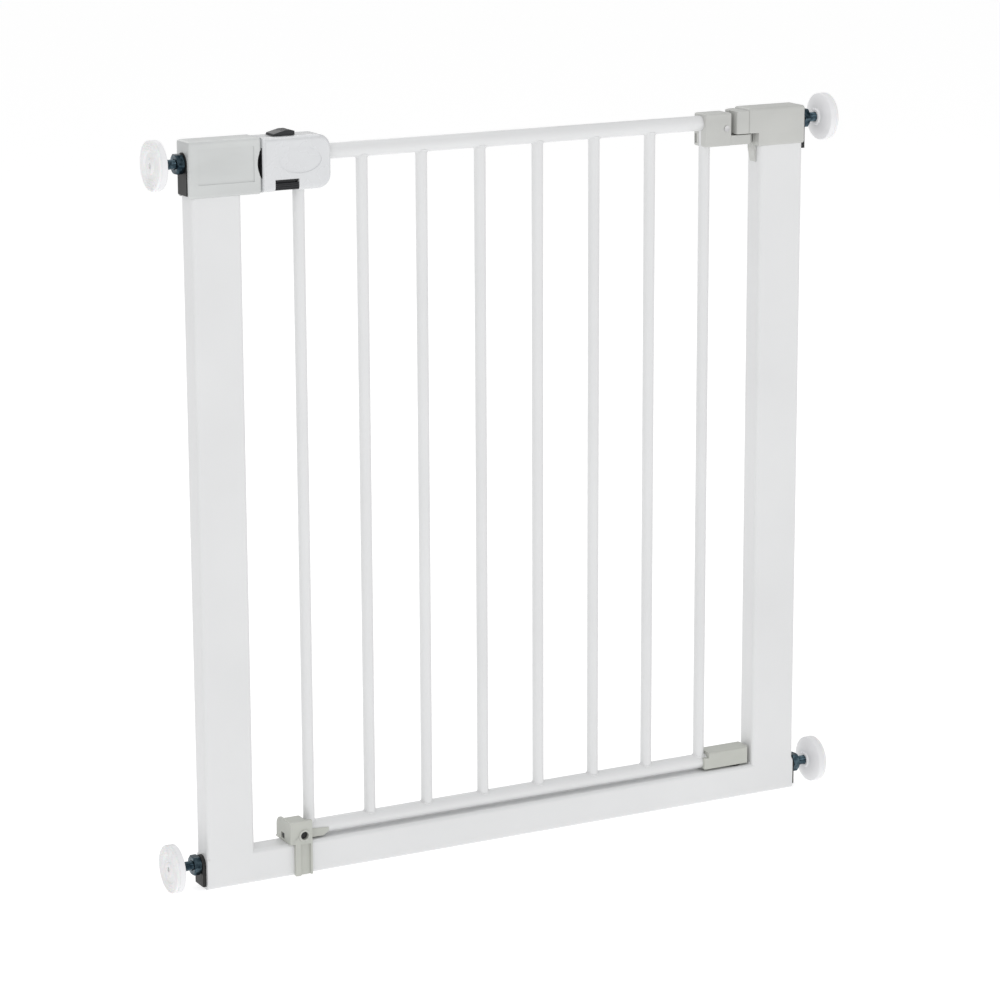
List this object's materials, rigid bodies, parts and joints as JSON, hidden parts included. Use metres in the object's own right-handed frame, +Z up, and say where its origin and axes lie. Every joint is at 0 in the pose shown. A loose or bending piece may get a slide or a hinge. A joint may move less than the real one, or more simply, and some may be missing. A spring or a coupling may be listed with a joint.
{
  "type": "safety baby gate",
  "caption": "Pressure-mounted white metal safety gate with a barred swing door, handle with thumb slide and trigger, and threaded wall pads at its corners.",
  "frame": {"origin": "middle of the bottom rail's underside, on the floor", "axes": "+X along the gate towards the hinge side, +Y towards the side the door opens to, +Z up"},
  "size_m": [0.782, 0.05, 0.7725],
  "materials": {
    "powder_coat": "smooth semi-gloss white powder coat",
    "catch_plastic": "light grey moulded plastic, satin gloss",
    "handle_plastic": "silver-grey moulded plastic, glossy",
    "hinge_plastic": "light grey moulded plastic, fine grain",
    "stop_plastic": "warm light grey moulded plastic, fine grain",
    "dark_plastic": "charcoal moulded plastic, fine grain",
    "bush_plastic": "black nylon",
    "screw_steel": "zinc plated",
    "spring_steel": "bright drawn wire",
    "zinc_steel": "blue passivated zinc plate",
    "pad_plastic": "white moulded plastic",
    "pad_rubber": "white soft rubber"
  },
  "bodies": {
    "frame": {"bottom_rail": "powder_coat", "left_post": "powder_coat", "right_post": "powder_coat", "catch_housing_front": "catch_plastic", "catch_housing_back": "catch_plastic", "catch_keeper": "dark_plastic", "catch_screws": "screw_steel", "hinge_housing_front": "hinge_plastic", "hinge_housing_back": "hinge_plastic", "hinge_block": "hinge_plastic", "hinge_housing_screws": "screw_steel", "bottom_stop": "stop_plastic", "stop_screw": "screw_steel", "lower_hinge_bush": "bush_plastic", "spindle_bush_top_left": "bush_plastic", "spindle_bush_top_right": "bush_plastic", "spindle_bush_bottom_left": "bush_plastic", "spindle_bush_bottom_right": "bush_plastic"},
    "door": {"door_top_rail": "powder_coat", "door_bottom_rail": "powder_coat", "bar_1": "powder_coat", "bar_2": "powder_coat", "bar_3": "powder_coat", "bar_4": "powder_coat", "bar_5": "powder_coat", "bar_6": "powder_coat", "bar_7": "powder_coat", "bar_8": "powder_coat", "handle_front": "handle_plastic", "handle_back": "handle_plastic", "handle_screws": "screw_steel", "bolt_guide": "dark_plastic", "detent_spring": "spring_steel", "trigger_spring": "spring_steel", "upper_hinge_bracket": "hinge_plastic", "bracket_rivet": "screw_steel", "upper_hinge_pin": "screw_steel", "lower_hinge_bracket": "stop_plastic", "lower_hinge_pin": "screw_steel", "door_foot": "stop_plastic"},
    "lock": {"lock_slider": "dark_plastic", "lock_bolt": "dark_plastic"},
    "trigger": {"trigger": "dark_plastic"},
    "nut_top_left": {"spindle_nut_top_left": "zinc_steel"},
    "spindle_top_left": {"spindle_rod_top_left": "zinc_steel", "pad_cup_top_left": "pad_plastic", "pad_face_top_left": "pad_rubber"},
    "nut_top_right": {"spindle_nut_top_right": "zinc_steel"},
    "spindle_top_right": {"spindle_rod_top_right": "zinc_steel", "pad_cup_top_right": "pad_plastic", "pad_face_top_right": "pad_rubber"},
    "nut_bottom_left": {"spindle_nut_bottom_left": "zinc_steel"},
    "spindle_bottom_left": {"spindle_rod_bottom_left": "zinc_steel", "pad_cup_bottom_left": "pad_plastic", "pad_face_bottom_left": "pad_rubber"},
    "nut_bottom_right": {"spindle_nut_bottom_right": "zinc_steel"},
    "spindle_bottom_right": {"spindle_rod_bottom_right": "zinc_steel", "pad_cup_bottom_right": "pad_plastic", "pad_face_bottom_right": "pad_rubber"}
  },
  "joints": [
    {"name": "door_swing", "type": "hinge", "parent": "frame", "child": "door", "pos_m": [0.282, 0, 0.4], "axis": [0, 0, -1], "range_deg": [0, 90]},
    {"name": "lock_slide", "type": "slide", "parent": "door", "child": "lock", "axis": [-1, 0, 0], "range_m": [0, 0.005]},
    {"name": "trigger_press", "type": "slide", "parent": "door", "child": "trigger", "axis": [0, 0, 1], "range_m": [0, 0.003], "stiffness_N_per_m": 400, "springref_m": -0.005, "deforming": ["trigger_spring"]},
    {"name": "nut_turn_top_left", "type": "hinge", "parent": "frame", "child": "nut_top_left", "pos_m": [-0.3613, 0, 0.7455], "axis": [1, 0, 0], "range_deg": [-2170, 6250]},
    {"name": "spindle_slide_top_left", "type": "slide", "parent": "frame", "child": "spindle_top_left", "axis": [-1, 0, 0], "range_m": [-0.009, 0.026]},
    {"name": "nut_turn_top_right", "type": "hinge", "parent": "frame", "child": "nut_top_right", "pos_m": [0.3613, 0, 0.7455], "axis": [-1, 0, 0], "range_deg": [-2170, 6250]},
    {"name": "spindle_slide_top_right", "type": "slide", "parent": "frame", "child": "spindle_top_right", "axis": [1, 0, 0], "range_m": [-0.009, 0.026]},
    {"name": "nut_turn_bottom_left", "type": "hinge", "parent": "frame", "child": "nut_bottom_left", "pos_m": [-0.3613, 0, 0.0255], "axis": [1, 0, 0], "range_deg": [-2170, 6250]},
    {"name": "spindle_slide_bottom_left", "type": "slide", "parent": "frame", "child": "spindle_bottom_left", "axis": [-1, 0, 0], "range_m": [-0.009, 0.026]},
    {"name": "nut_turn_bottom_right", "type": "hinge", "parent": "frame", "child": "nut_bottom_right", "pos_m": [0.3613, 0, 0.0255], "axis": [-1, 0, 0], "range_deg": [-2170, 6250]},
    {"name": "spindle_slide_bottom_right", "type": "slide", "parent": "frame", "child": "spindle_bottom_right", "axis": [1, 0, 0], "range_m": [-0.009, 0.026]}
  ],
  "couplings": [
    {"joint": "nut_turn_top_left", "follows": "spindle_slide_top_left", "rad_per_m": 4188.8},
    {"joint": "nut_turn_top_right", "follows": "spindle_slide_top_right", "rad_per_m": 4188.8},
    {"joint": "nut_turn_bottom_left", "follows": "spindle_slide_bottom_left", "rad_per_m": 4188.8},
    {"joint": "nut_turn_bottom_right", "follows": "spindle_slide_bottom_right", "rad_per_m": 4188.8}
  ]
}
